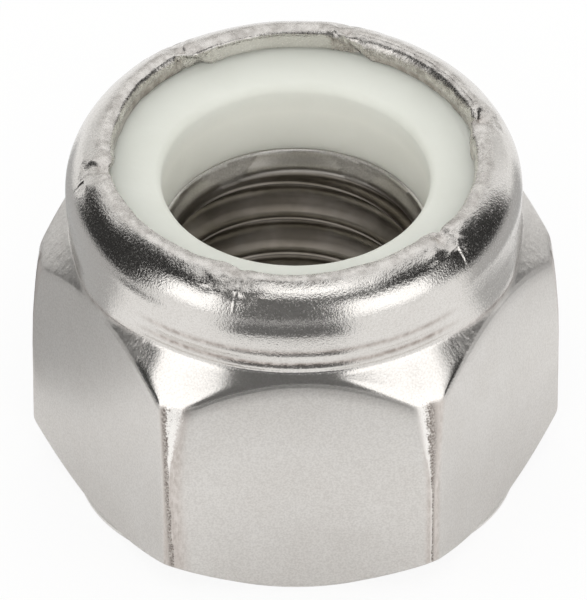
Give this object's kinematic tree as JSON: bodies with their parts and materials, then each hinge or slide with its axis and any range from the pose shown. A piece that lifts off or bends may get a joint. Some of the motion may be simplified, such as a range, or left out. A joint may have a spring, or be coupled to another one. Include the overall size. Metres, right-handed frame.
{
  "type": "nylon insert lock nut",
  "caption": "Stainless hexagon lock nut with a round collar curled over a white nylon ring that grips the screw thread.",
  "frame": {"origin": "centre of the bearing face, which the nut stands on", "axes": "+Z along the thread axis, from the bearing face up through the collar; two flats face -Y and +Y, two corners point along X"},
  "size_m": [0.009, 0.0078, 0.0065],
  "materials": {
    "stainless_steel": "bright cold-formed stainless steel with a fine grain",
    "nylon": "smooth natural nylon, slightly milky"
  },
  "bodies": {
    "root": {"nut_body": "stainless_steel", "nylon_insert": "nylon"}
  },
  "joints": []
}
